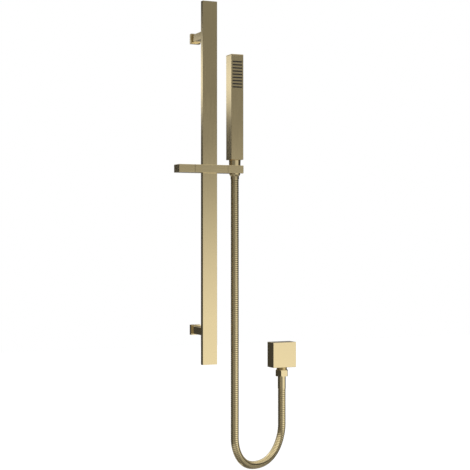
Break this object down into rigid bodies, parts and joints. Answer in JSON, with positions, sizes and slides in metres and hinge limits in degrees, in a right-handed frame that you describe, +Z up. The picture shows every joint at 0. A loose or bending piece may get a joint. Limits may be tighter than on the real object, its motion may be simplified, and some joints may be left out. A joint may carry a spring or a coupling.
{
  "type": "slide rail shower kit",
  "caption": "Square slide-rail shower: bar rail on two wall brackets, clamping slider arm with tilting holder, stick handset, metal hose and square wall outlet.",
  "frame": {"origin": "on the wall, midway between the two wall fixings of the rail", "axes": "+Z up along the rail, +Y into the wall, +X to the right of a person facing the wall"},
  "size_m": [0.2782, 0.0887, 0.9138],
  "materials": {
    "brushed_brass": "brushed, satin",
    "machined_brass": "machined",
    "stainless_steel": "machined",
    "nylon": "moulded",
    "moulded_plastic": "moulded",
    "silicone": "moulded, matt",
    "rubber": "moulded",
    "hose_brass": "brushed, wound strip"
  },
  "bodies": {
    "root": {"check_valve": "moulded_plastic", "flange_bottom": "brushed_brass", "flange_top": "brushed_brass", "grub_screws": "stainless_steel", "hose_ferrule": "brushed_brass", "hose_nut": "brushed_brass", "hose_washer": "rubber", "neck_ring": "rubber", "nut_plates": "stainless_steel", "outlet_cover": "brushed_brass", "outlet_elbow": "machined_brass", "post_bottom": "brushed_brass", "post_top": "brushed_brass", "rail": "brushed_brass", "rail_cap_bottom": "brushed_brass", "rail_cap_top": "brushed_brass", "rail_screws": "stainless_steel", "wall_boss_bottom": "machined_brass", "wall_boss_top": "machined_brass", "wall_gasket": "rubber"},
    "slider": {"slider_block": "brushed_brass", "slider_liner": "nylon", "clamp_bush": "machined_brass", "swivel_bolt": "stainless_steel", "friction_washer": "nylon"},
    "pad_carriage": {"clamp_pad": "nylon"},
    "knob": {"clamp_knob": "brushed_brass", "clamp_screw": "stainless_steel"},
    "holder": {"holder": "brushed_brass", "holder_liner": "nylon"},
    "handset": {"handset_shell": "brushed_brass", "handset_cap": "brushed_brass", "spray_insert": "silicone", "spray_chamber": "moulded_plastic", "water_tube": "moulded_plastic", "handset_base": "machined_brass", "strainer_washer": "rubber", "hose_end_upper": "machined_brass", "conical_nut": "brushed_brass"},
    "hose_bight": {"hose": "hose_brass"}
  },
  "joints": [
    {"name": "slider_slide", "type": "slide", "parent": "root", "child": "slider", "axis": [0, 0, 1], "range_m": [-0.298, 0.244], "deforming": ["hose"]},
    {"name": "clamp_feed", "type": "slide", "parent": "slider", "child": "pad_carriage", "axis": [-1, 0, 0], "range_m": [0, 0.000625]},
    {"name": "knob_turn", "type": "hinge", "parent": "pad_carriage", "child": "knob", "pos_m": [0, -0.075, 0.0269], "axis": [-1, 0, 0], "range_deg": [0, 180]},
    {"name": "holder_tilt", "type": "hinge", "parent": "slider", "child": "holder", "pos_m": [0, -0.075, 0.0269], "axis": [1, 0, 0], "range_deg": [-10, 35]},
    {"name": "handset_lift", "type": "slide", "parent": "holder", "child": "handset", "axis": [0, 0, 1], "range_m": [0, 0.028]},
    {"name": "hose_follow", "type": "slide", "parent": "root", "child": "hose_bight", "axis": [0, 0, 1], "range_m": [-0.075, 0.0615]}
  ],
  "couplings": [
    {"joint": "knob_turn", "follows": "clamp_feed", "rad_per_m": 5026.5},
    {"joint": "hose_follow", "follows": "slider_slide", "ratio": 0.25}
  ]
}
